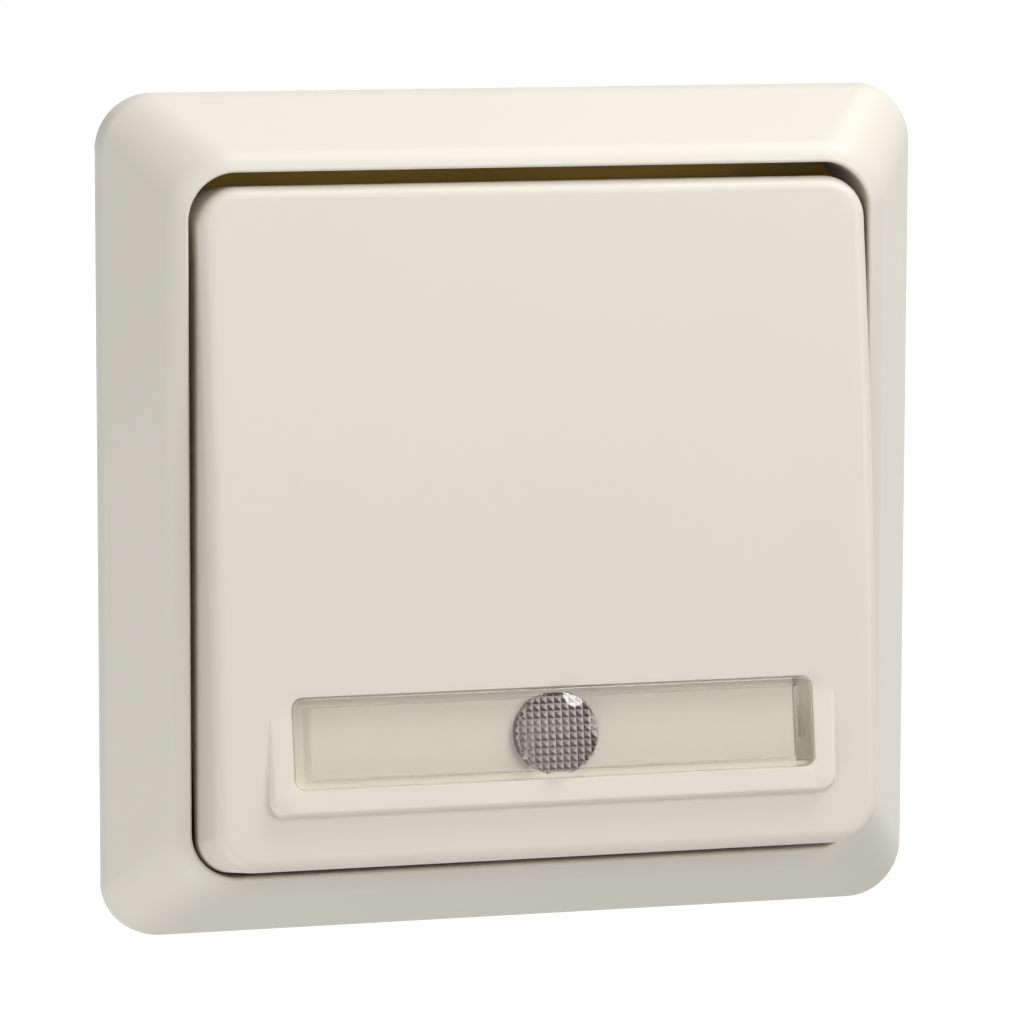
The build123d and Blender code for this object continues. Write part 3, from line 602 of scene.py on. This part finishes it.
def makeWindowPiece(s):
    bm = weldedCopy("window_lens")
    bmesh.ops.transform(bm, matrix=labelUp.inverted(), verts=bm.verts)
    top = s["proud"] + s["lensRise"]

    def domeLevel(v):
        return top - s["domeRadius"] + math.sqrt(s["domeRadius"] ** 2 - v.co.x ** 2 - v.co.y ** 2)

    def onDome(v):
        return (max(abs(v.co.x), abs(v.co.y)) < s["domeHalf"] and v.co.z > s["proud"] + s["domeAbove"]
                and abs(v.co.z - domeLevel(v)) < s["domeFit"])

    dome = [f for f in bm.faces if all(onDome(v) for v in f.verts)]
    edges = list({e for f in dome for e in f.edges
                  if len(e.link_faces) == 2 and all(g in dome for g in e.link_faces)})
    bmesh.ops.subdivide_edges(bm, edges=edges, cuts=s["cuts"], use_grid_fill=True)
    for v in bm.verts:
        if onDome(v):
            v.co.z = domeLevel(v)
    bm.normal_update()
    # painted glint and painted shade: each prism face, and the lens side wall, stores how far its colour goes from
    # glint to dark
    paintedPrismShade = bm.faces.layers.float.new("paintedPrismShade")
    for f in bm.faces:
        middle = f.calc_center_median()
        away = math.hypot(middle.x, middle.y)
        flat = abs(f.normal.z)
        if away < s["lensFoot"] and middle.z < s["prismTop"] and flat < s["prismFlat"]:
            across = abs(f.normal.x) > abs(f.normal.y)
            leading = f.normal.x > 0 if across else f.normal.y > 0
            f[paintedPrismShade] = s["paintedFacetShade"][(0 if leading else 1) if across else (2 if leading else 3)]
            f.material_index = 1
        # the lens side wall takes that painted shade all round
        elif s["rimInside"] < away < s["rimOutside"] and flat < s["rimFlat"]:
            f[paintedPrismShade] = s["paintedRimShade"]
            f.material_index = 1
    bmesh.ops.transform(bm, matrix=labelUp, verts=bm.verts)
    piece = finishMesh(bm, "clearWindow", s["sharp"])
    piece.data.materials.append(clearPlastic)
    piece.data.materials.append(prismGlintAndShade)
    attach(piece, "rocker")
    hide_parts("window_lens")


makeWindowPiece(windowSizes)
print("window made")


# outside of the insert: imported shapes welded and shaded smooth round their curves
insertSizes = {"sharp": 28}
terminals = ("phase", "neutral", "output_upper", "output_lower")
insertFinish = {"base_housing": ("insert", "housing_plastic", housingPlastic),
                "support_plate": ("insert", "plated_steel", platedSteel)}
for terminal in terminals:
    insertFinish["release_lever_" + terminal] = ("lever_" + terminal, "lever_plastic", leverPlastic)


def makeInsertPiece(node, body, finish):
    piece = finishMesh(weldedCopy(node), node.replace("_", "") + "Shell", insertSizes["sharp"])
    piece.data.materials.append(finish)
    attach(piece, body)
    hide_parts(node)


for node, (body, slotName, finish) in insertFinish.items():
    makeInsertPiece(node, body, finish)
print("insert pieces made")


# return spring: the imported coil welded, shaded smooth round its curves and given a mesh of its own
springSizes = {"travel": 0.000826, "foot": (0.0, 0.0202, 0.0), "sharp": 50}


def makeSpringPiece(s):
    piece = finishMesh(weldedCopy("return_spring"), "returnSpringCoil", s["sharp"])
    piece.data.materials.append(springSteel)
    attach(piece, "insert")
    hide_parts("return_spring")
    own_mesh(piece)


makeSpringPiece(springSizes)
print("spring made")

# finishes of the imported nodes, also of those that a piece replaces
nodeFinish = {
    "cover_frame": coverPlastic, "rocker": coverPlastic, "window_lens": clearPlastic, "label_left": labelPaper,
    "label_right": labelPaper, "rocker_cradle": carrierPlastic, "support_plate": platedSteel,
    "housing_cover": housingPlastic,
    "base_housing": housingPlastic, "assembly_screws": screwSteel, "contact_plunger": plungerPlastic,
    "contact_bridge": contactBrass, "moving_contacts": contactSilver, "fixed_contacts": contactSilver,
    "return_spring": springSteel, "phase_rail": contactBrass, "neutral_rail": contactBrass,
    "output_rail": contactBrass, "lamp_socket": carrierPlastic, "signal_lamp": lampGlass,
    "series_resistor": resistorBody, "lamp_leads": contactSilver}
for terminal in terminals:
    nodeFinish["clamp_spring_" + terminal] = springSteel
    nodeFinish["release_lever_" + terminal] = leverPlastic
for node, finish in nodeFinish.items():
    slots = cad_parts[node].data.materials
    slots.clear()
    slots.append(finish)
print("finishes assigned")

# floor, background and light
stageLook = {"floorLevel": -2.0, "floorSize": 30.0, "floorTone": 0.5, "floorShine": 0.95, "floorRough": 0.9,
             "ambient": 0.21, "backdrop": 1.0,
             "lamps": {"rightLamp": ((0.634, -0.296, 1.212), 0.8, 12.8),     # place, size, power
                       "leftLamp": ((-1.209, -0.182, -0.442), 0.7, 2.7),
                       "lowLamp": ((-0.394, -0.33, -0.613), 0.45, 2.5),
                       "frontLamp": ((1.131, -0.95, 0.26), 0.6, 5.0),
                       "cameraLamp": ((-0.825, -1.11, 0.57), 0.8, 4.9),
                       "lensLamp": ((0.734, -1.174, 0.8), 0.4, 5.5)}}


def makeFloor(look):
    bm = bmesh.new()
    bmesh.ops.create_grid(bm, x_segments=2, y_segments=2, size=look["floorSize"])
    bmesh.ops.translate(bm, vec=(0, 0, look["floorLevel"]), verts=bm.verts)
    mesh = bpy.data.meshes.new("studioFloor")
    bm.to_mesh(mesh)
    bm.free()
    floor = bpy.data.objects.new("studioFloor", mesh)
    scene.collection.objects.link(floor)
    mat, tree, shader = newMaterial("paleFloor")
    shader.inputs["Base Color"].default_value = rgb(look["floorTone"], look["floorTone"], look["floorTone"])
    shader.inputs["Roughness"].default_value = look["floorRough"]
    shader.inputs["Emission Color"].default_value = rgb(1, 1, 1)
    path = addNode(tree, "ShaderNodeLightPath")
    seen = addNode(tree, "ShaderNodeMath", operation="MAXIMUM")
    level = addNode(tree, "ShaderNodeMath", operation="MULTIPLY")
    level.inputs[1].default_value = look["floorShine"]
    tree.links.new(path.outputs["Is Camera Ray"], seen.inputs[0])
    tree.links.new(path.outputs["Is Glossy Ray"], seen.inputs[1])
    tree.links.new(seen.outputs[0], level.inputs[0])
    tree.links.new(level.outputs[0], shader.inputs["Emission Strength"])
    floor.data.materials.append(mat)


def makeWorld(look):
    world = bpy.data.worlds.new("studioWorld")
    scene.world = world
    world.use_nodes = True
    tree = world.node_tree
    shine = tree.nodes["Background"]
    shine.inputs["Color"].default_value = rgb(1, 1, 1)
    path = addNode(tree, "ShaderNodeLightPath")
    seen = addNode(tree, "ShaderNodeMath", operation="MAXIMUM")
    level = addNode(tree, "ShaderNodeMapRange")
    level.inputs["To Min"].default_value = look["ambient"]
    level.inputs["To Max"].default_value = look["backdrop"]
    tree.links.new(path.outputs["Is Camera Ray"], seen.inputs[0])
    tree.links.new(path.outputs["Is Glossy Ray"], seen.inputs[1])
    tree.links.new(seen.outputs[0], level.inputs["Value"])
    tree.links.new(level.outputs["Result"], shine.inputs["Strength"])


def makeLamp(name, place, size, power):
    data = bpy.data.lights.new(name, "AREA")
    data.shape = "DISK"
    data.size = size
    data.energy = power
    lamp = bpy.data.objects.new(name, data)
    scene.collection.objects.link(lamp)
    lamp.location = place
    lamp.rotation_euler = (-Vector(place)).to_track_quat("-Z", "Y").to_euler()


makeFloor(stageLook)
makeWorld(stageLook)
for name, (place, size, power) in stageLook["lamps"].items():
    makeLamp(name, place, size, power)
print("stage lit")
